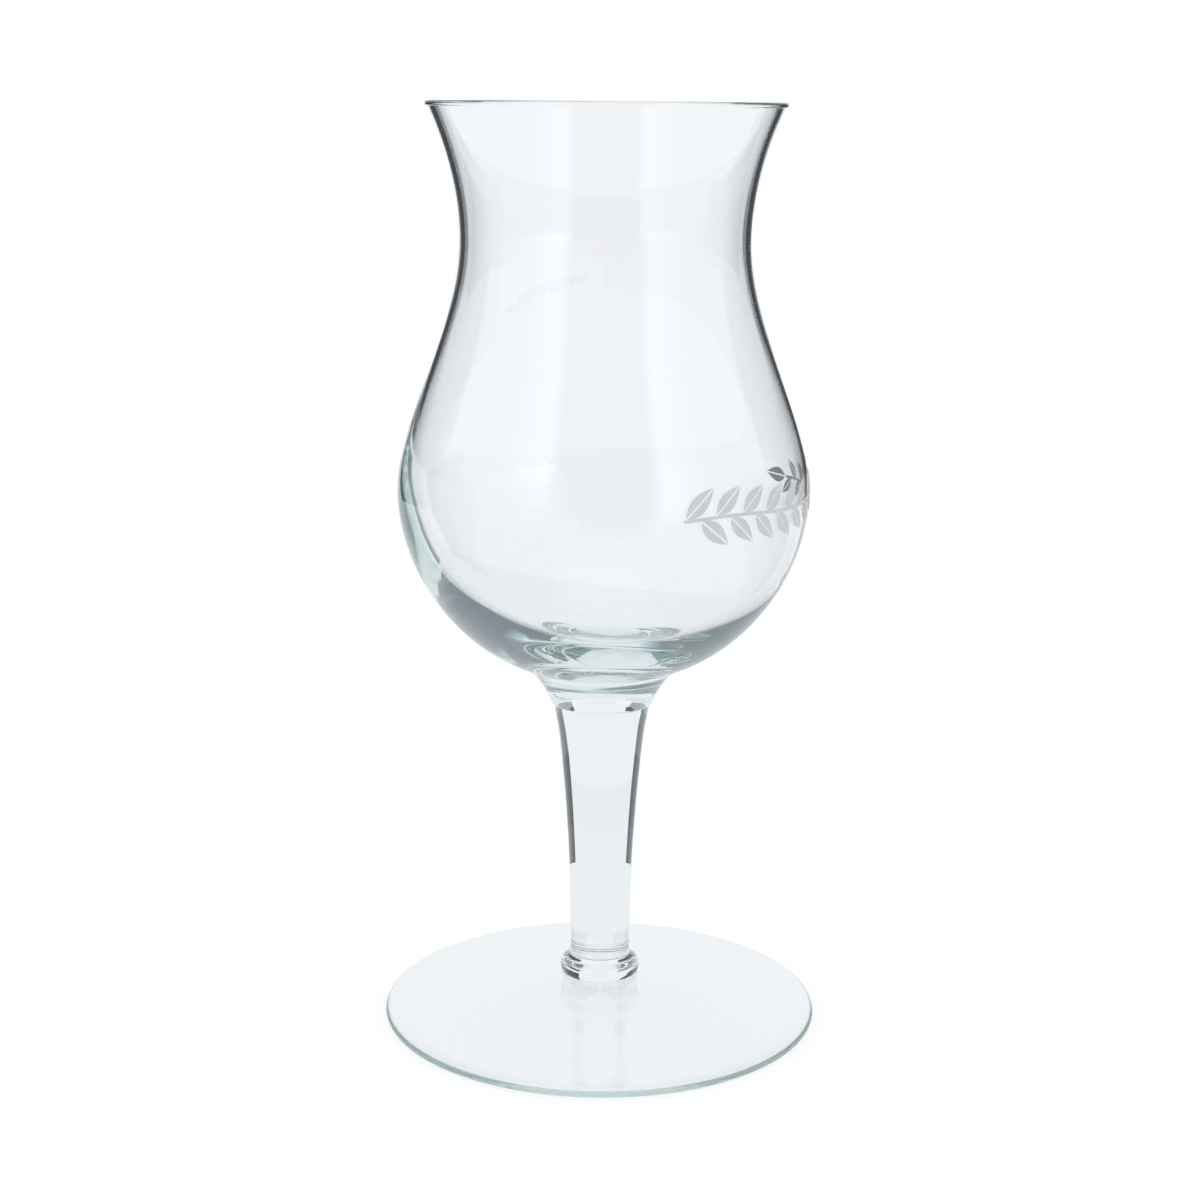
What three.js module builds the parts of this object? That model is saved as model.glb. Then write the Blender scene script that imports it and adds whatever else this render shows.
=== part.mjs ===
// A stemmed tulip glass for spirits: four gathers of clear glass, welded end to end.
// Millimetres, +Z up. The origin lies on the table, under the middle of the foot.
// Every piece is turned about the glass's axis, and each stands on the one below it.

import * as THREE from 'three';

// Foot: a shallow cone of glass that stands on a flat ring under its edge.
const footRadius = 30.1;
const footEdge = 1.3;            // thickness at the edge
const footEdgeRound = 0.5;       // fire-polished corners of the edge
const footRise = 4.2;            // from the top of the edge up to the collar's seat
const footSeatMargin = 0.3;      // flat of the seat that shows round the collar
const footCore = 2.4;            // thickness in the middle
const restRingWidth = 2.6;       // flat ring that touches the table

// Collar: the bead of glass that welds the stem to the foot.
const collarHeight = 3.1;
const collarBaseRadius = 5.1;
const collarRadius = 5.5;        // widest, a little above the foot
const collarBulgeHeight = 1.1;   // height of the widest ring above the foot
const collarShoulder = 0.15;     // how far the collar's top stands out past the stem

// Stem: a solid rod that widens upwards in a long hollow taper.
const stemLength = 36;
const stemFootRadius = 4.1;
const stemTopRadius = 6.6;
const stemTopSlope = 0.2;        // sideways per unit of height where it meets the bowl
const stemTopPull = 8;           // reach of the taper's upper curve
const stemFootPull = 12;         // reach of the taper's lower, straight stretch

// Bowl, outside: base, neck, belly, waist and flared lip, as heights above the stem.
const bowlHeight = 80.4;
const baseRadius = 6.9;
const neckRadius = 11.85;
const neckHeight = 5.9;
const neckAngle = 0.39;          // rise of the wall at the neck, in radians
const bellyRadius = 27.6;
const bellyHeight = 29.6;
const waistRadius = 19.2;
const waistHeight = 62.75;
const rimRadius = 23.55;         // outermost ring of the lip
const rimWidth = 1.15;           // flat of the rim, from its outermost to its innermost ring
const rimRound = 0.35;           // fire-polished corners of the rim
const neckPullDown = 3.6;        // reaches of the curves between those rings
const neckPullUp = 9.75;
const bellyPullDown = 9.95;
const bellyPullUp = 8.85;
const waistPullDown = 11.05;
const flarePull = 8;

// Bowl, inside: the wall's thickness at each ring, and the solid glass under the cavity.
const waistWall = 0.8;
const bellyWall = 1;
const cavityLift = 0.85;         // height of the cavity's widest ring above the belly's
const floorThickness = 7.6;
const floorReach = 0.9;          // reach of the wide, flat floor, as a share of the cavity's radius
const cavityPullDown = 4.9;      // reach of the cavity's wall below its widest ring

// Where the wall runs into the rim's round corners, as directions seen from their middles.
const rimOuterJoin = -1.75;
const rimInnerJoin = 2.8;

// Fineness of the turned surfaces: steps round the axis, round a corner and along each curve.
const turnSteps = 48;
const cornerSteps = 4;
const footSteps = 4;
const collarSteps = 4;
const stemSteps = 9;
const bowlSteps = 7;

function clearGlass(tint) {
  return new THREE.MeshStandardMaterial({
    color: tint,
    roughness: 0.03,
    metalness: 0,
    transparent: true,
    opacity: 0.4,
  });
}

// Turns an outline of radius and height about the axis, and stands it at a height.
function turned(name, outline, curveSteps, height, tint) {
  const points = outline.getPoints(curveSteps);
  const geometry = new THREE.LatheGeometry(points, turnSteps).rotateX(Math.PI / 2);
  const mesh = new THREE.Mesh(geometry, clearGlass(tint));
  mesh.name = name;
  mesh.position.z = height;
  return mesh;
}

// Carries an outline round a corner about its middle, from one direction to another.
function roundCorner(outline, middleRadius, middleHeight, round, from, to) {
  for (let step = 0; step <= cornerSteps; step += 1) {
    const direction = THREE.MathUtils.lerp(from, to, step / cornerSteps);
    outline.lineTo(
      middleRadius + round * Math.cos(direction),
      middleHeight + round * Math.sin(direction),
    );
  }
}

function footOutline() {
  const round = Math.min(footEdgeRound, footEdge / 2);
  const roundMiddle = footRadius - round;
  const seatHeight = footEdge + footRise;
  const seatRadius = collarRadius + footSeatMargin;
  const hollow = seatHeight - footCore;
  const ringInner = roundMiddle - restRingWidth;
  const outline = new THREE.Path();
  outline.moveTo(0, hollow);
  outline.bezierCurveTo(seatRadius, hollow, ringInner / 2, hollow / 2, ringInner, 0);
  roundCorner(outline, roundMiddle, round, round, -Math.PI / 2, 0);
  roundCorner(outline, roundMiddle, footEdge - round, round, 0, Math.PI / 2);
  outline.lineTo(seatRadius, seatHeight);
  outline.lineTo(0, seatHeight);
  return outline;
}

function collarOutline() {
  const topRadius = stemFootRadius + collarShoulder;
  const shoulderHeight = (collarBulgeHeight + collarHeight) / 2;
  const outline = new THREE.Path();
  outline.moveTo(0, 0);
  outline.lineTo(collarBaseRadius, 0);
  outline.quadraticCurveTo(collarRadius, 0, collarRadius, collarBulgeHeight);
  outline.bezierCurveTo(
    collarRadius, shoulderHeight,
    topRadius, shoulderHeight,
    topRadius, collarHeight,
  );
  outline.lineTo(0, collarHeight);
  return outline;
}

function stemOutline() {
  const outline = new THREE.Path();
  outline.moveTo(0, 0);
  outline.lineTo(stemFootRadius, 0);
  outline.bezierCurveTo(
    stemFootRadius, stemFootPull,
    stemTopRadius - stemTopSlope * stemTopPull, stemLength - stemTopPull,
    stemTopRadius, stemLength,
  );
  outline.lineTo(0, stemLength);
  return outline;
}

function bowlOutline() {
  const round = Math.min(rimRound, rimWidth / 2);
  const roundHeight = bowlHeight - round;
  const outerRound = rimRadius - round;
  const innerRound = rimRadius - rimWidth + round;
  const lipRadius = outerRound + round * Math.cos(rimOuterJoin);
  const lipHeight = roundHeight + round * Math.sin(rimOuterJoin);
  const innerWaist = waistRadius - waistWall;
  const innerBelly = bellyRadius - bellyWall;
  const innerBellyHeight = bellyHeight + cavityLift;
  const neckOut = Math.cos(neckAngle);
  const neckUp = Math.sin(neckAngle);
  const outline = new THREE.Path();
  outline.moveTo(0, 0);
  outline.lineTo(baseRadius, 0);
  outline.quadraticCurveTo(
    neckRadius - neckPullDown * neckOut, neckHeight - neckPullDown * neckUp,
    neckRadius, neckHeight,
  );
  outline.bezierCurveTo(
    neckRadius + neckPullUp * neckOut, neckHeight + neckPullUp * neckUp,
    bellyRadius, bellyHeight - bellyPullDown,
    bellyRadius, bellyHeight,
  );
  outline.bezierCurveTo(
    bellyRadius, bellyHeight + bellyPullUp,
    waistRadius, waistHeight - waistPullDown,
    waistRadius, waistHeight,
  );
  outline.quadraticCurveTo(waistRadius, waistHeight + flarePull, lipRadius, lipHeight);
  roundCorner(outline, outerRound, roundHeight, round, rimOuterJoin, Math.PI / 2);
  roundCorner(outline, innerRound, roundHeight, round, Math.PI / 2, rimInnerJoin);
  outline.quadraticCurveTo(innerWaist, waistHeight + flarePull, innerWaist, waistHeight);
  outline.bezierCurveTo(
    innerWaist, waistHeight - waistPullDown,
    innerBelly, innerBellyHeight + bellyPullUp,
    innerBelly, innerBellyHeight,
  );
  outline.bezierCurveTo(
    innerBelly, innerBellyHeight - cavityPullDown,
    innerBelly * floorReach, floorThickness,
    0, floorThickness,
  );
  return outline;
}

const collarSeat = footEdge + footRise;
const stemSeat = collarSeat + collarHeight;
const bowlSeat = stemSeat + stemLength;

const tulipGlass = new THREE.Group();
tulipGlass.add(
  turned('foot', footOutline(), footSteps, 0, 0xd5e6e4),
  turned('foot_collar', collarOutline(), collarSteps, collarSeat, 0xdfe9ea),
  turned('stem', stemOutline(), stemSteps, stemSeat, 0xe6eef1),
  turned('bowl', bowlOutline(), bowlSteps, bowlSeat, 0xeaf0f3),
);

export default tulipGlass;
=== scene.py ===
# %% [markdown]
# # A stemmed tulip glass, turned from its outline
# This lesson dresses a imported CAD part: a small clear glass for spirits, 125 mm tall.
# The glass is made of four gathers that are welded while hot: bowl, stem, foot collar and foot.
# Each piece is an outline turned about the axis, as a glassmaker turns it on the pipe,
# so one Geometry Nodes tree shapes all four and only the outlines differ.

# %% Frame and units
import math

import bpy
from mathutils import Matrix, Vector


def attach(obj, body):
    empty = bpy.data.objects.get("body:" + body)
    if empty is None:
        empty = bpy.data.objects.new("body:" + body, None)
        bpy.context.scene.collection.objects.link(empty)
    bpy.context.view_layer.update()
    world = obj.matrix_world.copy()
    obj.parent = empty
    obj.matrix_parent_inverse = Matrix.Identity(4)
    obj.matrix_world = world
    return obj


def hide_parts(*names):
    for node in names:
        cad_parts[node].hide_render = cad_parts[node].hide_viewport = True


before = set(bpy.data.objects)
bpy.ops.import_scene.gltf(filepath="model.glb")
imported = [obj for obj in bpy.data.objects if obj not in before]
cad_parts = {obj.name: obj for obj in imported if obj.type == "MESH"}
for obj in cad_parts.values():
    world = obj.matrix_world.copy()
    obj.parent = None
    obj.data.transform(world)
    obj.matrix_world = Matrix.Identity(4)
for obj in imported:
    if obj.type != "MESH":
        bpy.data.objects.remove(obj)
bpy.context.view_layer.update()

MM = 0.001
scene = bpy.context.scene

# %% [markdown]
# ## Outlines
# An outline is a line of rings, from the axis under a piece to the axis above it.
# It could be drawn by hand, but a real profile is smooth, so it is made of Bezier curves
# between the rings that a glassmaker would gauge: base, neck, belly, waist and rim.
# A ring is a radius and a height in millimetres, and it carries two marks:
# whether it is on the cavity, and whether it is on a weld.

# %% Curves for the outlines
QUARTER_TURN = math.pi / 2


def bezier(points, steps):
    """Points along a Bezier curve of any degree, without its first point."""
    line = []
    for step in range(1, steps + 1):
        level = [Vector(point) for point in points]
        while len(level) > 1:
            level = [near.lerp(far, step / steps) for near, far in zip(level, level[1:])]
        line.append(tuple(level[0]))
    return line


def corner(middle, size, start, end, steps):
    """Points round a corner, from one direction to another."""
    line = []
    for step in range(steps + 1):
        direction = start + (end - start) * step / steps
        line.append((middle[0] + size * math.cos(direction), middle[1] + size * math.sin(direction)))
    return line


def weld(radius, height):
    """The flat of a weld, from the axis to its edge."""
    return [(0.0, height, 0, 1), (radius, height, 0, 1)]


def skin(points, inside=0):
    """Rings of the outer skin, or of the cavity."""
    return [(radius, height, inside, 0) for radius, height in points]


# %% Foot and collar outlines
FOOT_SEAT = 5.5           # heights at which collar, stem and bowl stand on the piece below
STEM_SEAT = 8.6
BOWL_SEAT = 44.6
SEAT_GAP = 0.002          # half of the hair's breadth left between two pieces
SEAT_MARGIN = 0.002       # where a seat's flat ends and the outer skin begins
FOOT_RADIUS = 30.1
FOOT_EDGE_ROUND = 0.45    # half of the edge's thickness
FOOT_TOP_RADIUS = 5.8
FOOT_HOLLOW = 3.5         # height of the underside in the middle
REST_RING_INNER = 29.0
COLLAR_BASE_RADIUS = 5.1
COLLAR_RADIUS = 5.5
COLLAR_BULGE = 6.6        # height of the collar's widest ring
COLLAR_SHOULDER = 7.6
COLLAR_TOP_RADIUS = 4.25
STEM_FOOT_RADIUS = 4.1


def foot_outline():
    top = FOOT_SEAT - SEAT_GAP
    hollow_near = (3.5, FOOT_HOLLOW)
    hollow_far = (8.0, 3.2)
    edge_middle = (FOOT_RADIUS - FOOT_EDGE_ROUND, FOOT_EDGE_ROUND)
    line = [(0.0, FOOT_HOLLOW)]
    line += bezier([line[0], hollow_near, hollow_far, (REST_RING_INNER, 0)], steps=24)
    line += corner(edge_middle, FOOT_EDGE_ROUND, -QUARTER_TURN, QUARTER_TURN, steps=12)
    line += bezier([line[-1], (FOOT_TOP_RADIUS, top)], steps=24)
    line += [(COLLAR_BASE_RADIUS + SEAT_MARGIN, top), (COLLAR_BASE_RADIUS, top), (0.0, top)]
    return skin(line)


def collar_outline():
    low = FOOT_SEAT + SEAT_GAP
    high = STEM_SEAT - SEAT_GAP
    base = (COLLAR_BASE_RADIUS, low)
    widest = (COLLAR_RADIUS, COLLAR_BULGE)
    line = [(0.0, low), base, (COLLAR_BASE_RADIUS + SEAT_MARGIN, low)]
    line += bezier([base, (COLLAR_RADIUS, low), widest], steps=10)
    line += bezier([widest, (COLLAR_RADIUS, COLLAR_SHOULDER), (COLLAR_TOP_RADIUS, COLLAR_SHOULDER),
                    (COLLAR_TOP_RADIUS, high)], steps=14)
    line += [(STEM_FOOT_RADIUS + SEAT_MARGIN, high)]
    return skin(line) + weld(STEM_FOOT_RADIUS, high)[::-1]


foot_rings = foot_outline()
collar_rings = collar_outline()
print("foot outline has", len(foot_rings), "rings, collar outline has", len(collar_rings))

# %% Stem outline
STEM_TOP_RADIUS = 6.6
STEM_FOOT_PULL = (STEM_FOOT_RADIUS, 20.6)
STEM_TOP_PULL = (5.0, 36.6)


def stem_outline():
    low = STEM_SEAT + SEAT_GAP
    high = BOWL_SEAT - SEAT_GAP
    line = [(STEM_FOOT_RADIUS, low + SEAT_MARGIN)]
    line += bezier([(STEM_FOOT_RADIUS, low), STEM_FOOT_PULL, STEM_TOP_PULL,
                    (STEM_TOP_RADIUS, high - SEAT_MARGIN)], steps=60)
    return weld(STEM_FOOT_RADIUS, low) + skin(line) + weld(STEM_TOP_RADIUS, high)[::-1]


stem_rings = stem_outline()
print("stem outline has", len(stem_rings), "rings")

# %% Bowl outline
UP = Vector((0, 1))
BASE_RADIUS = 6.9
BASE_ROUND_START = 6.62          # radius at which the base's lower corner begins to round
BASE_ROUND_END = Vector((6.98, 0.24))
NECK = Vector((11.85, 50.5))
NECK_ANGLE = 0.39                # rise of the wall at the neck, in radians
BELLY = Vector((27.6, 74.2))
WAIST = Vector((19.2, 107.35))
RIM_TOP = 125.0
RIM_ROUND = 0.35                 # fire-polished corners of the rim
RIM_OUTER = (23.2, RIM_TOP - RIM_ROUND)
RIM_INNER = (22.75, RIM_TOP - RIM_ROUND)
RIM_OUTER_JOIN = -1.75           # where the walls run into the rim, as directions in radians
RIM_INNER_JOIN = 2.8
INNER_WAIST = Vector((18.4, 107.35))
INNER_BELLY = Vector((26.6, 75.05))
FLOOR_HEIGHT = 52.2
FLOOR_PULL = (23.94, FLOOR_HEIGHT)
NECK_PULL_DOWN = 3.6             # reaches of the curves between those rings
NECK_PULL_UP = 9.75
BELLY_PULL_DOWN = 9.95
BELLY_PULL_UP = 8.85
WAIST_PULL_DOWN = 11.05
FLARE_PULL = 8.0
CAVITY_PULL_DOWN = 4.9


def bowl_outline():
    low = BOWL_SEAT + SEAT_GAP
    rise = Vector((math.cos(NECK_ANGLE), math.sin(NECK_ANGLE)))
    base = (BASE_RADIUS, low)
    rim_out = corner(RIM_OUTER, RIM_ROUND, RIM_OUTER_JOIN, QUARTER_TURN, steps=8)
    rim_in = corner(RIM_INNER, RIM_ROUND, QUARTER_TURN, RIM_INNER_JOIN, steps=6)
    outside = [(STEM_TOP_RADIUS + SEAT_MARGIN, low)]
    outside += bezier([(BASE_ROUND_START, low), base, BASE_ROUND_END + low * UP], steps=8)
    outside += bezier([base, NECK - NECK_PULL_DOWN * rise, NECK], steps=20)
    outside += bezier([NECK, NECK + NECK_PULL_UP * rise, BELLY - BELLY_PULL_DOWN * UP, BELLY], steps=44)
    outside += bezier([BELLY, BELLY + BELLY_PULL_UP * UP, WAIST - WAIST_PULL_DOWN * UP, WAIST], steps=60)
    outside += bezier([WAIST, WAIST + FLARE_PULL * UP, rim_out[0]], steps=30)
    outside += rim_out[1:] + rim_in
    cavity = bezier([rim_in[-1], INNER_WAIST + FLARE_PULL * UP, INNER_WAIST], steps=30)
    cavity += bezier([INNER_WAIST, INNER_WAIST - WAIST_PULL_DOWN * UP,
                      INNER_BELLY + BELLY_PULL_UP * UP, INNER_BELLY], steps=60)
    cavity += bezier([INNER_BELLY, INNER_BELLY - CAVITY_PULL_DOWN * UP, FLOOR_PULL, (0, FLOOR_HEIGHT)],
                     steps=56)
    return weld(STEM_TOP_RADIUS, low) + skin(outside) + skin(cavity, inside=1)


bowl_rings = bowl_outline()
print("bowl outline has", len(bowl_rings), "rings")

# %% [markdown]
# ## Soda-lime glass
# One glass for all pieces: smooth, refracting light by 1.52, and faintly green where it is thick,
# because iron in the sand takes a little red and blue out of the light on its way through.
# Where collar and stem, or stem and bowl, are welded there is no surface any more, only glass
# that goes on. The pieces stay separate here, so the weld's mark sets the refraction to 1 on those
# flats, and light passes from piece to piece as it does in the real glass.
# The collar's seat on the foot is no full weld, so it keeps a surface of its own.
# Hot glass cools with slow waves in its skin, so a very low bump follows a noise.

# %% Nodes and colours
MATH = "ShaderNodeMath "


def linear(hex_color):
    """An sRGB colour such as D9E1E4 as linear red, green, blue and a full alpha."""
    parts = []
    for start in (0, 2, 4):
        part = int(hex_color[start:start + 2], 16) / 255
        parts.append(part / 12.92 if part <= 0.04045 else ((part + 0.055) / 1.055) ** 2.4)
    return (*parts, 1.0)


def add(tree, kind, *values, **named):
    """Adds a node with its settings and links.

    The kind may be followed by an operation. The values fill the inputs in order.
    Of the named values, those in small letters are settings, and the others fill inputs by name.
    A node as a value stands for its first output, and a list is linked one by one.
    """
    kind, _, operation = kind.partition(" ")
    settings = {name: value for name, value in named.items() if name.islower()}
    if operation:
        settings["operation"] = operation
    node = tree.nodes.new(kind)
    for name, value in settings.items():
        setattr(node, name, value)
    filled = list(zip(node.inputs, values))
    filled += [(node.inputs[name.replace("_", " ")], value)
               for name, value in named.items() if name not in settings]
    for socket, value in filled:
        sources = value if isinstance(value, list) else [value]
        for source in sources:
            if isinstance(source, bpy.types.Node):
                source = source.outputs[0]
            if isinstance(source, bpy.types.NodeSocket):
                tree.links.new(source, socket)
            else:
                socket.default_value = source
    return node


def new_material(name):
    """A material with an empty node tree."""
    material = bpy.data.materials.new(name)
    material.use_nodes = True
    material.node_tree.nodes.clear()
    return material, material.node_tree


# %% Glass material
GLASS_REFRACTION = 1.52
GLASS_TINT = "DBEAE7"
GLASS_TINT_DENSITY = 20.0
WAVE_LENGTH = 9 * MM
WAVE_HEIGHT = 0.0015 * MM


def glass_material():
    material, tree = new_material("Soda-lime glass")
    mark = add(tree, "ShaderNodeAttribute", attribute_name="weld")
    refraction = add(tree, "ShaderNodeMapRange", Value=mark.outputs["Fac"],
                     To_Min=GLASS_REFRACTION, To_Max=1.0)
    place = add(tree, "ShaderNodeTexCoord").outputs["Object"]
    waves = add(tree, "ShaderNodeTexNoise", Vector=place, Scale=1 / WAVE_LENGTH, Detail=1.0)
    bump = add(tree, "ShaderNodeBump", Height=waves.outputs["Fac"], Strength=1.0, Distance=WAVE_HEIGHT)
    shader = add(tree, "ShaderNodeBsdfPrincipled", Base_Color=linear("FFFFFF"), Roughness=0.0,
                 Transmission_Weight=1.0, IOR=refraction.outputs["Result"], Normal=bump)
    absorb = add(tree, "ShaderNodeVolumeAbsorption", Color=linear(GLASS_TINT), Density=GLASS_TINT_DENSITY)
    add(tree, "ShaderNodeOutputMaterial", Surface=shader, Volume=absorb)
    return material


glass = glass_material()
print("material", glass.name)

# %% [markdown]
# ## Turning
# A lathe tool would do for a perfect bowl, but blown glass is never quite even.
# The tree lays a grid over all rings and steps round the axis, bends it round,
# and lets the cavity drift sideways towards the floor, where the gather was thickest on one side.
# Slow noise also makes the cavity's wall uneven by about a hundredth of a millimetre.

# %% Making a mesh with nodes
def new_geometry_tree(name, inputs):
    """A Geometry Nodes group with a geometry input and output and the named inputs."""
    tree = bpy.data.node_groups.new(name, "GeometryNodeTree")
    tree.interface.new_socket("Geometry", in_out="INPUT", socket_type="NodeSocketGeometry")
    tree.interface.new_socket("Geometry", in_out="OUTPUT", socket_type="NodeSocketGeometry")
    for label, kind in inputs.items():
        tree.interface.new_socket(label, in_out="INPUT", socket_type="NodeSocket" + kind)
    return tree, add(tree, "NodeGroupInput").outputs


def made_mesh(name, source, tree, values):
    """Runs a Geometry Nodes tree on a source mesh and keeps the result as a plain mesh object."""
    maker = bpy.data.objects.new(name + "_maker", source)
    scene.collection.objects.link(maker)
    modifier = maker.modifiers.new("shape", "NODES")
    modifier.node_group = tree
    for item in tree.interface.items_tree:
        if item.in_out == "INPUT" and item.name in values:
            modifier[item.identifier] = values[item.name]
    maker.update_tag()
    shaped = maker.evaluated_get(bpy.context.evaluated_depsgraph_get())
    mesh = bpy.data.meshes.new_from_object(shaped)
    mesh.name = name
    bpy.data.objects.remove(maker)
    piece = bpy.data.objects.new(name, mesh)
    scene.collection.objects.link(piece)
    print(name, "has", len(mesh.polygons), "faces")
    return piece


def outline_mesh(name, rings):
    """A mesh line of rings: the radius goes along x, the height along z."""
    mesh = bpy.data.meshes.new(name + "_outline")
    places = [(radius * MM, 0, height * MM) for radius, height, _, _ in rings]
    mesh.from_pydata(places, [(index, index + 1) for index in range(len(rings) - 1)], [])
    for position, label in ((2, "inside"), (3, "weld")):
        marks = mesh.attributes.new(label, "FLOAT", "POINT")
        for mark, ring in zip(marks.data, rings):
            mark.value = ring[position]
    return mesh


# %% Turning tree
SEAM_REACH = 0.0005 * MM
CREASE = math.radians(35)


def turning_tree():
    tree, given = new_geometry_tree("Turned glass", {
        "Steps round the axis": "Int",
        "Drift at the floor": "Float",
        "Drift begins at height": "Float",
        "Floor height": "Float",
        "Unevenness": "Float",
        "Glass": "Material",
    })
    steps = given["Steps round the axis"]
    drift_top = given["Drift begins at height"]
    count = add(tree, "GeometryNodeAttributeDomainSize", Geometry=given["Geometry"])
    columns = add(tree, MATH + "ADD", steps, 1)
    sheet = add(tree, "GeometryNodeMeshGrid", Vertices_X=count.outputs["Point Count"], Vertices_Y=columns)
    index = add(tree, "GeometryNodeInputIndex")
    row = add(tree, MATH + "DIVIDE", add(tree, MATH + "ADD", index, 0.5), columns)
    row = add(tree, MATH + "FLOOR", row)
    column = add(tree, MATH + "SUBTRACT", index, add(tree, MATH + "MULTIPLY", row, columns))
    turn = add(tree, MATH + "DIVIDE", add(tree, MATH + "MULTIPLY", column, 2 * math.pi), steps)

    def ring_value(source, kind):
        sample = add(tree, "GeometryNodeSampleIndex", data_type=kind, domain="POINT",
                     Geometry=given["Geometry"], Value=source, Index=row)
        return sample.outputs["Value"]

    def ring_mark(label):
        named = add(tree, "GeometryNodeInputNamedAttribute", data_type="FLOAT", Name=label)
        return ring_value(named.outputs["Attribute"], "FLOAT")

    position = add(tree, "GeometryNodeInputPosition")
    ring = add(tree, "ShaderNodeSeparateXYZ", Vector=ring_value(position, "FLOAT_VECTOR"))
    radius = ring.outputs["X"]
    height = ring.outputs["Z"]
    inside = ring_mark("inside")
    across = add(tree, MATH + "COSINE", turn)
    along = add(tree, MATH + "SINE", turn)
    place = add(tree, "ShaderNodeCombineXYZ", X=add(tree, MATH + "MULTIPLY", across, radius),
                Y=add(tree, MATH + "MULTIPLY", along, radius), Z=height)
    noise = add(tree, "ShaderNodeTexNoise", Vector=place, Scale=1 / WAVE_LENGTH, Detail=0.0)
    swell = add(tree, MATH + "SUBTRACT", noise.outputs["Fac"], 0.5)
    swell = add(tree, MATH + "MULTIPLY", swell, given["Unevenness"])
    at_axis = add(tree, MATH + "MINIMUM", add(tree, MATH + "DIVIDE", radius, WAVE_LENGTH), 1.0)
    swell = add(tree, MATH + "MULTIPLY", swell, add(tree, MATH + "MULTIPLY", inside, at_axis))
    wall = add(tree, MATH + "ADD", radius, swell)
    depth = add(tree, MATH + "DIVIDE", add(tree, MATH + "SUBTRACT", drift_top, height),
                add(tree, MATH + "SUBTRACT", drift_top, given["Floor height"]))
    depth = add(tree, MATH + "MAXIMUM", depth, 0.0)
    drift = add(tree, MATH + "MULTIPLY", add(tree, MATH + "MULTIPLY", depth, depth),
                given["Drift at the floor"])
    drift = add(tree, MATH + "MULTIPLY", drift, inside)
    turned = add(tree, "ShaderNodeCombineXYZ", X=add(tree, MATH + "MULTIPLY_ADD", across, wall, drift),
                 Y=add(tree, MATH + "MULTIPLY", along, wall), Z=height)
    shape = add(tree, "GeometryNodeSetPosition", Geometry=sheet.outputs["Mesh"], Position=turned)
    outward = add(tree, "GeometryNodeFlipFaces", Mesh=shape)
    marked = add(tree, "GeometryNodeStoreNamedAttribute", data_type="FLOAT", domain="POINT",
                 Geometry=outward, Name="weld", Value=ring_mark("weld"))
    merged = add(tree, "GeometryNodeMergeByDistance", Geometry=marked, Distance=SEAM_REACH)
    smooth = add(tree, "GeometryNodeSetShadeSmooth", domain="FACE", Geometry=merged)
    angle = add(tree, "GeometryNodeInputMeshEdgeAngle").outputs["Unsigned Angle"]
    creased = add(tree, "GeometryNodeSetShadeSmooth", domain="EDGE", Geometry=smooth,
                  Selection=add(tree, MATH + "GREATER_THAN", angle, CREASE), Shade_Smooth=False)
    real = add(tree, "GeometryNodeRealizeInstances", Geometry=creased)
    dressed = add(tree, "GeometryNodeSetMaterial", Geometry=real, Material=given["Glass"])
    add(tree, "NodeGroupOutput", Geometry=dressed)
    return tree


turning = turning_tree()
print("turning tree has", len(turning.nodes), "nodes")

# %% Four turned pieces
PIECES = {
    "bowl": (bowl_rings, "bowl_glass"),
    "stem": (stem_rings, "stem_glass"),
    "foot_collar": (collar_rings, "stem_glass"),
    "foot": (foot_rings, "foot_glass"),
}
TURNING = {
    "Steps round the axis": 160,
    "Drift at the floor": 1.75 * MM,
    "Drift begins at height": 95 * MM,
    "Floor height": FLOOR_HEIGHT * MM,
    "Unevenness": 0.015 * MM,
    "Glass": glass,
}
shown = {}
for node_name, (rings, slot) in PIECES.items():
    piece = made_mesh(node_name + "_glass", outline_mesh(node_name, rings), turning, TURNING)
    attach(piece, "root")
    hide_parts(node_name)
    shown[node_name] = piece

# %% [markdown]
# ## White glass enamel
# The belly carries a small print: a level sprig of leaves on its right side.
# Such prints are ground glass with a white pigment, screened on and fired until they fuse.
# The layer is a few hundredths of a millimetre thick, matt beside the glass, and slightly cloudy.
# Its grain is finer than a render shows, so it is drawn about three times as coarse here.

# %% Enamel material
ENAMEL_CLOUD = 1.6 * MM
ENAMEL_GRAIN = 0.25 * MM
ENAMEL_GRAIN_HEIGHT = 0.006 * MM
ENAMEL_ROUGHNESS = (0.35, 0.6)
ENAMEL_THIN = "C4C6C6"
ENAMEL_FULL = "DCDCDA"


def enamel_material():
    material, tree = new_material("White glass enamel")
    place = add(tree, "ShaderNodeTexCoord").outputs["Object"]
    cloud = add(tree, "ShaderNodeTexNoise", Vector=place, Scale=1 / ENAMEL_CLOUD, Detail=3.0)
    grain = add(tree, "ShaderNodeTexNoise", Vector=place, Scale=1 / ENAMEL_GRAIN, Detail=1.0)
    color = add(tree, "ShaderNodeMix", data_type="RGBA", Factor=cloud.outputs["Fac"],
                A=linear(ENAMEL_THIN), B=linear(ENAMEL_FULL))
    rough = add(tree, "ShaderNodeMapRange", Value=grain.outputs["Fac"],
                To_Min=ENAMEL_ROUGHNESS[0], To_Max=ENAMEL_ROUGHNESS[1])
    bump = add(tree, "ShaderNodeBump", Height=grain.outputs["Fac"], Strength=1.0,
               Distance=ENAMEL_GRAIN_HEIGHT)
    shader = add(tree, "ShaderNodeBsdfPrincipled", Base_Color=color.outputs["Result"],
                 Roughness=rough.outputs["Result"], IOR=GLASS_REFRACTION, Normal=bump)
    add(tree, "ShaderNodeOutputMaterial", Surface=shader)
    return material


enamel = enamel_material()
print("material", enamel.name)

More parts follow.
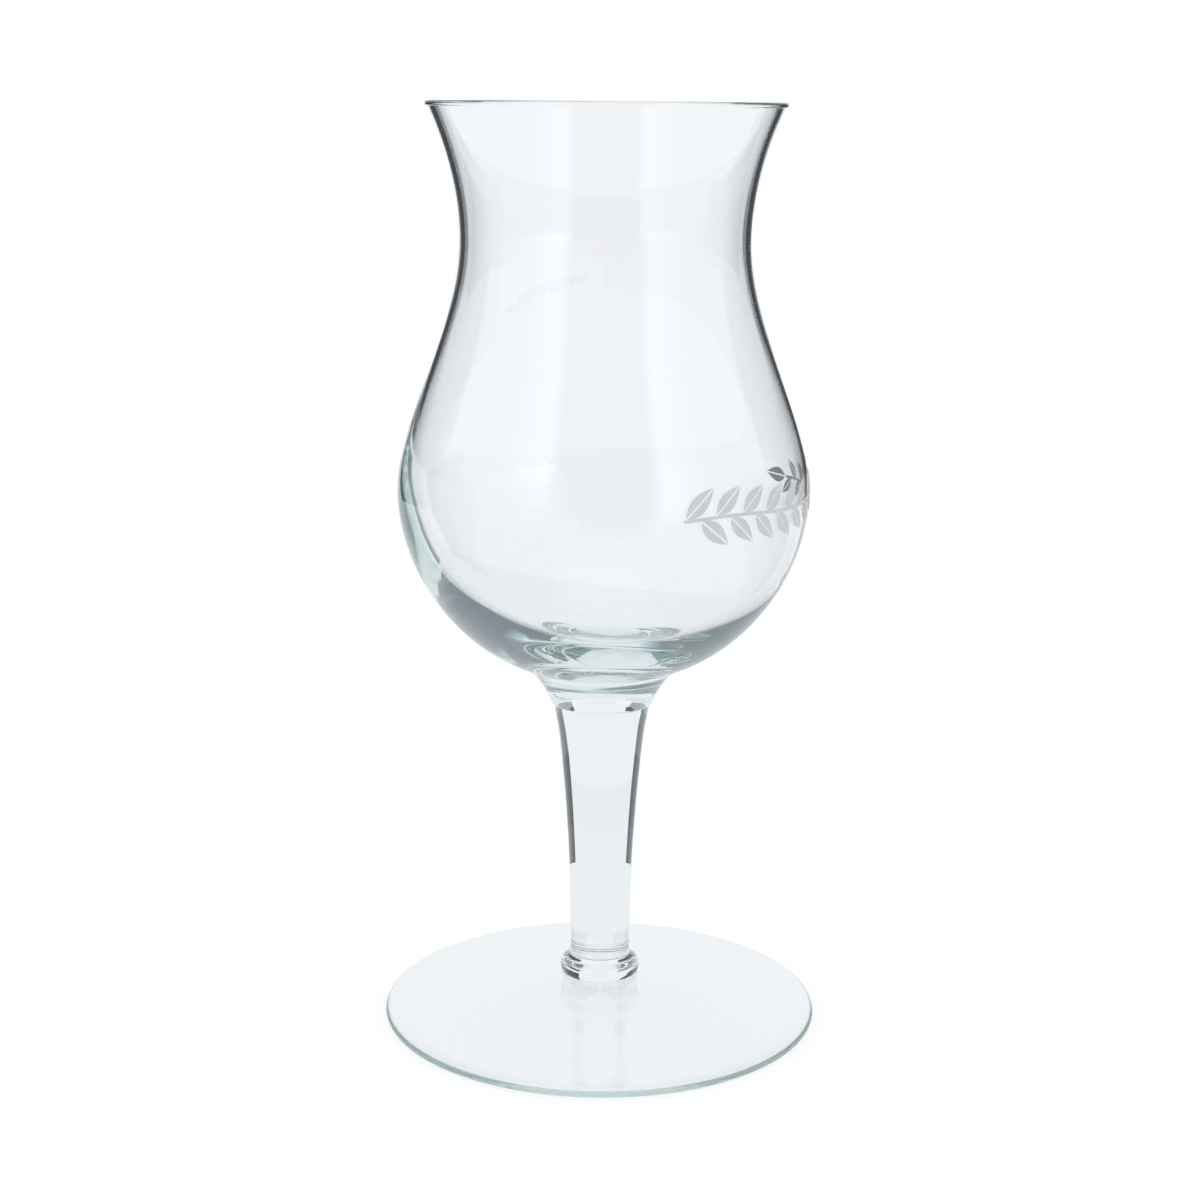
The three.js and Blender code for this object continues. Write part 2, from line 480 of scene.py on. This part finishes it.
# %% [markdown]
# ## Leaf sprig
# A print could be a picture on the glass, but this file uses no pictures, and a real print is a layer.
# So the tree lays out flat leaves along a stalk, gives them their thickness,
# and then wraps the sheet round the bowl: along the stalk becomes a bearing, and up stays up.
# A ray towards the axis finds the glass at each point, so the layer follows the belly exactly.

# %% Leaves
LEAF_STEPS = 15
LEAF_BULGE = 0.8      # below 1, a leaf is widest nearer to the stalk
TIP_SHRINK = 0.3      # how much smaller the leaves grow towards the tip


def leaf_shape(tree, given):
    """One flat leaf along x: two halves with a bare midrib between them.

    The sheet has four lines of corners, a third of its width apart, and loses its middle strip.
    Each half then runs from the midrib, where its share is 0, to the leaf's edge, where it is 1.
    """
    sheet = add(tree, "GeometryNodeMeshGrid", Size_X=1.0, Size_Y=2.0, Vertices_X=LEAF_STEPS, Vertices_Y=4)
    place = add(tree, "ShaderNodeSeparateXYZ", Vector=add(tree, "GeometryNodeInputPosition"))
    side = place.outputs["Y"]
    off_middle = add(tree, MATH + "ABSOLUTE", side)
    halves = add(tree, "GeometryNodeDeleteGeometry", domain="FACE", Geometry=sheet.outputs["Mesh"],
                 Selection=add(tree, MATH + "LESS_THAN", off_middle, 0.2))
    along = add(tree, MATH + "MAXIMUM", add(tree, MATH + "ADD", place.outputs["X"], 0.5), 0.0)
    swell = add(tree, MATH + "MULTIPLY", add(tree, MATH + "POWER", along, LEAF_BULGE), math.pi)
    swell = add(tree, MATH + "SINE", swell)
    rib = add(tree, MATH + "MULTIPLY", given["Midrib"], 0.5)
    half = add(tree, MATH + "MULTIPLY", add(tree, MATH + "MULTIPLY", swell, given["Leaf width"]), 0.5)
    blade = add(tree, MATH + "MAXIMUM", add(tree, MATH + "SUBTRACT", half, rib), 0.0)
    share = add(tree, MATH + "MULTIPLY_ADD", off_middle, 1.5, -0.5)
    across = add(tree, MATH + "MULTIPLY", add(tree, MATH + "SIGN", side),
                 add(tree, MATH + "MULTIPLY_ADD", share, blade, rib))
    length = add(tree, MATH + "MULTIPLY_ADD", along, given["Leaf length"], given["Stalk width"])
    flat = add(tree, "ShaderNodeCombineXYZ", X=length, Y=across, Z=0.0)
    return add(tree, "GeometryNodeSetPosition", Geometry=halves, Position=flat)


def leaf_row(tree, given, leaf, start, count, turn):
    """Leaves along the stalk, all turned alike, that grow smaller towards its tip."""
    first = add(tree, "ShaderNodeCombineXYZ", X=start, Y=0.0, Z=0.0)
    step = add(tree, "ShaderNodeCombineXYZ", X=given["Spacing"], Y=0.0, Z=0.0)
    line = add(tree, "GeometryNodeMeshLine", Count=count, Start_Location=first, Offset=step)
    rank = add(tree, MATH + "DIVIDE", add(tree, "GeometryNodeInputIndex"), given["Leaf pairs"])
    size = add(tree, MATH + "MULTIPLY_ADD", rank, -TIP_SHRINK, 1.0)
    facing = add(tree, "ShaderNodeCombineXYZ", X=0.0, Y=0.0, Z=turn)
    return add(tree, "GeometryNodeInstanceOnPoints", Points=line, Instance=leaf,
               Rotation=facing, Scale=size)


# %% Wrapping
def wrapped(tree, given, layer):
    """Wraps a flat layer round the glass: its height above the sheet becomes height above the glass."""
    place = add(tree, "ShaderNodeSeparateXYZ", Vector=add(tree, "GeometryNodeInputPosition"))
    sway = add(tree, MATH + "SINE", add(tree, MATH + "DIVIDE", place.outputs["X"], given["Spacing"]))
    up = add(tree, MATH + "MULTIPLY_ADD", sway, given["Sway"], place.outputs["Y"])
    height = add(tree, MATH + "ADD", up, given["Height"])
    bearing = add(tree, MATH + "ADD", given["Start bearing"],
                  add(tree, MATH + "DIVIDE", place.outputs["X"], given["Belly radius"]))
    right = add(tree, MATH + "SINE", bearing)
    back = add(tree, MATH + "MULTIPLY", add(tree, MATH + "COSINE", bearing), -1.0)
    far = add(tree, MATH + "MULTIPLY", given["Belly radius"], 2.0)
    outside = add(tree, "ShaderNodeCombineXYZ", X=add(tree, MATH + "MULTIPLY", right, far),
                  Y=add(tree, MATH + "MULTIPLY", back, far), Z=height)
    inward = add(tree, "ShaderNodeCombineXYZ", X=add(tree, MATH + "MULTIPLY", right, -1.0),
                 Y=add(tree, MATH + "MULTIPLY", back, -1.0), Z=0.0)
    bowl = add(tree, "GeometryNodeObjectInfo", Object=given["Bowl"])
    ray = add(tree, "GeometryNodeRaycast", Target_Geometry=bowl.outputs["Geometry"],
              Source_Position=outside, Ray_Direction=inward)
    lift = add(tree, MATH + "ADD", place.outputs["Z"], given["Lift"])
    raised = add(tree, "ShaderNodeVectorMath SCALE", Vector=ray.outputs["Hit Normal"], Scale=lift)
    final = add(tree, "ShaderNodeVectorMath ADD", ray.outputs["Hit Position"], raised)
    return add(tree, "GeometryNodeSetPosition", Geometry=layer, Position=final)


# %% Sprig tree
STALK_STEPS = 120
LAYER_MERGE = 0.002 * MM


def sprig_tree():
    tree, given = new_geometry_tree("Leaf sprig", {
        "Leaf pairs": "Int", "Spacing": "Float", "Leaf length": "Float", "Leaf width": "Float",
        "Leaf angle": "Float", "Midrib": "Float", "Stalk width": "Float", "Sway": "Float",
        "Layer": "Float", "Lift": "Float", "Belly radius": "Float", "Start bearing": "Float",
        "Height": "Float", "Bowl": "Object", "Enamel": "Material",
    })
    pairs = given["Leaf pairs"]
    leaf = leaf_shape(tree, given)
    stalk_length = add(tree, MATH + "MULTIPLY", pairs, given["Spacing"])
    half_step = add(tree, MATH + "MULTIPLY", given["Spacing"], 0.5)
    downward = add(tree, MATH + "MULTIPLY", given["Leaf angle"], -1.0)
    upper = leaf_row(tree, given, leaf, 0.0, pairs, given["Leaf angle"])
    lower = leaf_row(tree, given, leaf, half_step, pairs, downward)
    tip = leaf_row(tree, given, leaf, stalk_length, 1, 0.0)
    rod = add(tree, "GeometryNodeMeshGrid", Size_X=stalk_length, Size_Y=given["Stalk width"],
              Vertices_X=STALK_STEPS, Vertices_Y=2)
    middle = add(tree, MATH + "MULTIPLY", stalk_length, 0.5)
    shift = add(tree, "ShaderNodeCombineXYZ", X=middle, Y=0.0, Z=0.0)
    stalk = add(tree, "GeometryNodeSetPosition", Geometry=rod.outputs["Mesh"], Offset=shift)
    sprays = add(tree, "GeometryNodeJoinGeometry", Geometry=[upper, lower, tip, stalk])
    flat = add(tree, "GeometryNodeRealizeInstances", Geometry=sprays)
    top = add(tree, "GeometryNodeExtrudeMesh", mode="FACES", Mesh=flat, Offset_Scale=given["Layer"],
              Individual=False)
    under = add(tree, "GeometryNodeFlipFaces", Mesh=flat)
    closed = add(tree, "GeometryNodeJoinGeometry", Geometry=[top.outputs["Mesh"], under])
    layer = add(tree, "GeometryNodeMergeByDistance", Geometry=closed, Distance=LAYER_MERGE)
    real = add(tree, "GeometryNodeRealizeInstances", Geometry=wrapped(tree, given, layer))
    dressed = add(tree, "GeometryNodeSetMaterial", Geometry=real, Material=given["Enamel"])
    add(tree, "NodeGroupOutput", Geometry=dressed)
    return tree


# %% Printed sprig
SPRIG = {
    "Leaf pairs": 10,
    "Spacing": 4.3 * MM,
    "Leaf length": 5.4 * MM,
    "Leaf width": 2.3 * MM,
    "Leaf angle": math.radians(40),
    "Midrib": 0.22 * MM,
    "Stalk width": 0.42 * MM,
    "Sway": 0.3 * MM,
    "Layer": 0.03 * MM,
    "Lift": 0.01 * MM,
    "Belly radius": BELLY.x * MM,
    "Start bearing": math.radians(21),
    "Height": 74.6 * MM,
    "Bowl": shown["bowl"],
    "Enamel": enamel,
}
sprig = made_mesh("leaf_sprig", bpy.data.meshes.new("sprig_start"), sprig_tree(), SPRIG)
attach(sprig, "root")

# %% [markdown]
# ## Camera
# The photograph's perspective gives the camera: a 65.5 mm lens at 290 mm from the axis,
# at the height of the rim and looking down by 12.8 degrees, with a slight roll.

# %% Camera
LENS = 65.508
SENSOR_WIDTH = 36
CAMERA_PLACE = Vector((-0.36, -289.5, 124.67)) * MM
CAMERA_PITCH = math.radians(12.8)
CAMERA_ROLL = math.radians(0.45)
camera_data = bpy.data.cameras.new("Camera")
camera_data.lens = LENS
camera_data.sensor_width = SENSOR_WIDTH
camera_data.clip_start = 10 * MM
camera = bpy.data.objects.new("Camera", camera_data)
scene.collection.objects.link(camera)
camera.matrix_world = (Matrix.Translation(CAMERA_PLACE)
                       @ Matrix.Rotation(QUARTER_TURN - CAMERA_PITCH, 4, "X")
                       @ Matrix.Rotation(CAMERA_ROLL, 4, "Z"))
scene.camera = camera
bpy.context.view_layer.update()
print("camera at", [round(value / MM, 1) for value in camera.location], "mm")

# %% [markdown]
# ## Studio
# A dim sheet on the table before the camera is painted shade, which the glass shows in its reflections.
# Clear glass is lit from its surroundings: it shows them, bent and squeezed into its edges.
# The studio is bright all round, and dark cards beside and behind the glass draw its dark edges.
# A plain card would darken stem, wall and base alike. So each cloth stands only in the way of
# light that has met a set number of surfaces: one for a reflection, two through the stem,
# and more through the bowl and its base.
# The cards, the backdrop, the softboxes and the front wall are fixed to the camera,
# as on a turntable shot, so the edges stay dark when the glass is seen from another side.
# The camera itself sees a plain white floor and background, where the glass keeps a soft shadow.

# %% Table, walls and softboxes
WHITE = linear("FFFFFF")
TABLE_IN_GLASS = linear("EFF2F5")
BACKDROP_IN_GLASS = linear("F6F8FB")
# The dim grey is the level of the front wall, and also of a painted shade on the table before the camera.
DIM_GREY = linear("BCBCBD")
TABLE_MATT = linear("959595")
TABLE_GLOW = 0.74                # with the light that the matt table returns, this makes white
DAYLIGHT = (0.98, 1.0, 1.03)     # a tint of levels that may pass white
SOFTBOX_LEVELS = ((0.0, 0.5), (0.16, 1.45), (0.3, 1.35), (0.6, 0.95), (1.0, 0.8))


def glowing(name, color):
    """A surface that glows in one colour."""
    material, tree = new_material(name)
    add(tree, "ShaderNodeOutputMaterial", Surface=add(tree, "ShaderNodeEmission", Color=color))
    return material


def floor_material():
    """White to the camera with the soft shadow of the glass; a pale table to rays in the glass."""
    material, tree = new_material("White table")
    path = add(tree, "ShaderNodeLightPath")
    white = add(tree, "ShaderNodeEmission", Color=WHITE, Strength=TABLE_GLOW)
    matt = add(tree, "ShaderNodeBsdfDiffuse", Color=TABLE_MATT)
    seen = add(tree, "ShaderNodeAddShader", white, matt)
    pale = add(tree, "ShaderNodeEmission", Color=TABLE_IN_GLASS)
    mix = add(tree, "ShaderNodeMixShader", path.outputs["Is Camera Ray"], pale, seen)
    add(tree, "ShaderNodeOutputMaterial", Surface=mix)
    return material


def fill_ramp(ramp, stops, tint):
    """Puts stops of a place and a level of one tint on a ramp."""
    while len(ramp.color_ramp.elements) < len(stops):
        ramp.color_ramp.elements.new(0.5)
    for element, (place, level) in zip(ramp.color_ramp.elements, stops):
        element.position = place
        element.color = (*(level * part for part in tint), 1.0)


def softbox_material():
    """A soft lamp beside the camera: dim next to it, quickly bright, then slowly weaker."""
    material, tree = new_material("Softbox")
    place = add(tree, "ShaderNodeTexCoord").outputs["Generated"]
    side = add(tree, "ShaderNodeSeparateXYZ", Vector=place)
    ramp = add(tree, "ShaderNodeValToRGB", Fac=side.outputs["Y"])
    fill_ramp(ramp, SOFTBOX_LEVELS, DAYLIGHT)
    glow = add(tree, "ShaderNodeEmission", Color=ramp.outputs["Color"])
    add(tree, "ShaderNodeOutputMaterial", Surface=glow)
    return material


pale_backdrop = glowing("Pale backdrop", BACKDROP_IN_GLASS)
dim_wall_and_table_shade = glowing("Dim wall and table shade", DIM_GREY)
softbox = softbox_material()
print("softbox levels", [level for place, level in SOFTBOX_LEVELS])

# %% Cloths
SLATE = (0.88, 1.0, 1.12)
BLACK = 0.05
DEEP_SHADE = 0.14
MID_GREY = 0.36
FADING = ((0, BLACK), (42, 0.06), (52, 0.24), (70, 0.34), (82, 0.7), (115, 0.9))
BASE_LEVELS = ((0, 0.9), (14, 0.9), (25, 0.26), (180, 0.24))
MANY = 1000


def even(level):
    """One level at every bearing."""
    return ((0, level), (180, level))


# A cloth's levels by bearing, and the fewest and most surfaces that its light has met.
CLOTHS = {
    "Black cloth for the stem": (even(BLACK), 2, 2),
    "Shade cloth for the stem": (even(DEEP_SHADE), 2, 2),
    "Grey cloth": (even(MID_GREY), 1, MANY),
    "Fading cloth": (FADING, 2, MANY),
    "Fading cloth in reflections": (FADING, 1, 1),
    "Fading cloth for the bowl": (FADING, 3, MANY),
    "Cloth for the bowl's edge": (even(BLACK), 3, 3),
    "Cloth for edge and walls": (even(BLACK), 3, 4),
    "Cloth for the base": (BASE_LEVELS, 7, MANY),
}


def cloth_material(name, levels, fewest, most):
    """Dark cloth whose grey level follows its bearing from the middle of the backdrop.

    It stands in the way only of light that has met at least the fewest and at most the most surfaces.
    """
    material, tree = new_material(name)
    place = add(tree, "ShaderNodeTexCoord").outputs["Object"]
    side = add(tree, "ShaderNodeSeparateXYZ", Vector=place)
    off_middle = add(tree, MATH + "ABSOLUTE", side.outputs["X"])
    bearing = add(tree, MATH + "ARCTAN2", off_middle, side.outputs["Y"])
    ramp = add(tree, "ShaderNodeValToRGB", Fac=add(tree, MATH + "DIVIDE", bearing, math.pi))
    fill_ramp(ramp, [(degrees / 180, level) for degrees, level in levels], SLATE)
    glow = add(tree, "ShaderNodeEmission", Color=ramp.outputs["Color"])
    surfaces = add(tree, "ShaderNodeLightPath").outputs["Ray Depth"]
    enough = add(tree, MATH + "GREATER_THAN", surfaces, fewest - 0.5)
    not_more = add(tree, MATH + "LESS_THAN", surfaces, most + 0.5)
    clear = add(tree, "ShaderNodeBsdfTransparent")
    mix = add(tree, "ShaderNodeMixShader", add(tree, MATH + "MULTIPLY", enough, not_more), clear, glow)
    add(tree, "ShaderNodeOutputMaterial", Surface=mix)
    return material


cloths = {name: cloth_material(name, *settings) for name, settings in CLOTHS.items()}
print("studio has", len(cloths), "cloths")


# %% Fixing to the camera
def on_rig(name, mesh):
    """A studio surface that only the glass sees, fixed to the camera."""
    surface = bpy.data.objects.new(name, mesh)
    scene.collection.objects.link(surface)
    surface.visible_camera = False
    surface.visible_diffuse = False
    surface.visible_shadow = False
    surface.parent = camera
    surface.matrix_parent_inverse = camera.matrix_world.inverted()


# %% Cards
RIGHT = 1
LEFT = -1
NEAR = 75        # distances of the cards from the axis, in millimetres
MIDDLE = 130
FAR = 300
CARD_STEP = 4    # degrees of bearing from one fold of a card to the next

# A card's name, side, cloth and distance, and its rows of a height, an inner and an outer bearing.
CARDS = (
    ("Stem card right", RIGHT, "Black cloth for the stem", NEAR, ((0, 40, 72), (28, 39.5, 72))),
    ("Stem card left", LEFT, "Black cloth for the stem", NEAR, ((0, 41, 72), (28, 41, 72))),
    ("Stem shade right", RIGHT, "Shade cloth for the stem", NEAR,
     ((28, 40, 68), (36, 41, 64), (44, 43, 64))),
    ("Stem shade left", LEFT, "Shade cloth for the stem", NEAR,
     ((28, 41, 68), (36, 40, 64), (44, 42, 64))),
    ("Edge card right", RIGHT, "Cloth for the bowl's edge", MIDDLE,
     ((6, 20, 36), (22, 23, 37), (34, 25, 39), (44, 27, 40), (50, 29, 39), (60, 31, 40), (78, 33, 40))),
    ("Belly card left", LEFT, "Cloth for edge and walls", NEAR,
     ((25, 50, 60), (33, 52, 60), (42, 51, 60), (50, 49, 60), (60, 45, 58), (70, 40, 56))),
    ("Low side right", RIGHT, "Fading cloth for the bowl", FAR, ((20, 30, 120), (45, 21, 120))),
    ("Low side left", LEFT, "Fading cloth for the bowl", FAR, ((20, 34, 120), (45, 27, 120))),
    ("Dark side right", RIGHT, "Fading cloth", FAR,
     ((45, 21, 120), (60, 23, 120), (72, 21, 120), (88, 19, 120), (95, 21, 120), (125, 24, 120))),
    ("Dark side left", LEFT, "Fading cloth", FAR,
     ((45, 27, 120), (60, 24, 120), (75, 21, 120), (85, 18, 120), (92, 17, 120), (125, 19, 120))),
    ("Mirrored side right", RIGHT, "Fading cloth in reflections", FAR,
     ((20, 30, 120), (45, 22, 120), (125, 22, 120))),
    ("Mirrored side left", LEFT, "Fading cloth in reflections", FAR,
     ((20, 34, 120), (45, 27, 120), (75, 22, 120), (125, 22, 120))),
    ("Shaded side right", RIGHT, "Grey cloth", FAR, ((125, 24, 80), (190, 26, 80))),
    ("Shaded side left", LEFT, "Grey cloth", FAR, ((125, 22, 80), (190, 26, 80))),
    ("Base side right", RIGHT, "Cloth for the base", MIDDLE, ((0.3, 16, 75), (330, 16, 75))),
    ("Base front right", RIGHT, "Cloth for the base", MIDDLE, ((95, 75, 180), (330, 75, 180))),
    ("Base side left", LEFT, "Cloth for the base", MIDDLE, ((0.3, 16, 180), (330, 16, 180))),
)


def card_mesh(name, side, distance, rows, material):
    """A card bent round the axis."""
    _, inner, outer = rows[0]
    columns = 1 + max(1, round((outer - inner) / CARD_STEP))
    corners = []
    for height, inner, outer in rows:
        for column in range(columns):
            turn = math.radians(inner + (outer - inner) * column / (columns - 1))
            place = (side * distance * math.sin(turn), distance * math.cos(turn), height)
            corners.append(Vector(place) * MM)
    faces = []
    for low in range(0, columns * (len(rows) - 1), columns):
        for start in range(low, low + columns - 1):
            faces.append((start, start + 1, start + columns + 1, start + columns))
    mesh = bpy.data.meshes.new(name)
    mesh.from_pydata(corners, [], faces)
    mesh.materials.append(material)
    return mesh


for name, side, cloth, distance, rows in CARDS:
    on_rig(name, card_mesh(name, side, distance, rows, cloths[cloth]))
print("studio has", len(CARDS), "cards")

# %% Floor, backdrop and softboxes
FLOOR_REACH = 1200
FLOOR_DROP = 0.05                  # keeps the floor just clear of the foot
SHEET_HEIGHT = 0.3                 # of the sheets that lie on the table
BACKDROP_REACH = 700
BACKDROP_DISTANCE = 283
BACKDROP_FOOT = 150                # where the backdrop's foot begins on the table
BACKDROP_RISE = (-20, 900)
WALL_RISE = (-200, 1200)
TABLE_SHADE_START = (140, -280)          # half widths and places along y
FRONT_WALL = (307, -630)
SOFTBOX_END = (689, -122)


def level_sheet(near, far, height):
    """Corners of a level sheet between two lines, each a half width and a place along y."""
    return [(-near[0], near[1], height), (near[0], near[1], height),
            (far[0], far[1], height), (-far[0], far[1], height)]


def upright_sheet(start, end, low, high):
    """Corners of an upright sheet over a line on the table."""
    return [(*start, low), (*end, low), (*end, high), (*start, high)]


def sheet_mesh(name, corners, material):
    """A four-cornered sheet, in millimetres."""
    mesh = bpy.data.meshes.new(name)
    mesh.from_pydata([Vector(place) * MM for place in corners], [], [(0, 1, 2, 3)])
    mesh.materials.append(material)
    return mesh


floor_corners = level_sheet((FLOOR_REACH, -FLOOR_REACH), (FLOOR_REACH, FLOOR_REACH), -FLOOR_DROP)
floor = bpy.data.objects.new("Floor", sheet_mesh("Floor", floor_corners, floor_material()))
scene.collection.objects.link(floor)

backdrop_start = (-BACKDROP_REACH, BACKDROP_DISTANCE)
backdrop_end = (BACKDROP_REACH, BACKDROP_DISTANCE)
wall_start = (-FRONT_WALL[0], FRONT_WALL[1])
left_end = (-SOFTBOX_END[0], SOFTBOX_END[1])
SHEETS = {
    "Backdrop": (upright_sheet(backdrop_start, backdrop_end, *BACKDROP_RISE), pale_backdrop),
    "Backdrop foot": (level_sheet((BACKDROP_REACH, BACKDROP_FOOT), backdrop_end, SHEET_HEIGHT),
                      pale_backdrop),
    "Front wall": (upright_sheet(wall_start, FRONT_WALL, *WALL_RISE), dim_wall_and_table_shade),
    # Painted shade: this dim sheet on the table before the camera stands for the shadow that the camera's
    # side casts there.
    "Table before the camera": (level_sheet(TABLE_SHADE_START, FRONT_WALL, SHEET_HEIGHT), dim_wall_and_table_shade),
    "Softbox right": (upright_sheet(FRONT_WALL, SOFTBOX_END, *WALL_RISE), softbox),
    "Softbox left": (upright_sheet(wall_start, left_end, *WALL_RISE), softbox),
}
for name, (corners, material) in SHEETS.items():
    on_rig(name, sheet_mesh(name, corners, material))
print("studio has", len(SHEETS), "sheets on the rig")

# %% [markdown]
# ## Surroundings
# Beyond the sheets lies a bright pale room, which the glass sees past their edges.
# To the camera it is plain white. Light crosses many walls of glass before it leaves them,
# so the bounce counts are high: with few, the base would turn black.

# %% Surroundings
BOUNCES = 128


def surroundings():
    """White to the camera, and a bright pale room to every other ray."""
    world = bpy.data.worlds.new("Studio")
    world.use_nodes = True
    tree = world.node_tree
    tree.nodes.clear()
    path = add(tree, "ShaderNodeLightPath")
    color = add(tree, "ShaderNodeMix", data_type="RGBA", Factor=path.outputs["Is Camera Ray"],
                A=BACKDROP_IN_GLASS, B=WHITE)
    background = add(tree, "ShaderNodeBackground", Color=color.outputs["Result"])
    add(tree, "ShaderNodeOutputWorld", Surface=background)
    return world


scene.world = surroundings()
scene.view_settings.view_transform = "Standard"
scene.cycles.max_bounces = BOUNCES
scene.cycles.transmission_bounces = BOUNCES
scene.cycles.glossy_bounces = BOUNCES
print("light is followed over", BOUNCES, "surfaces")
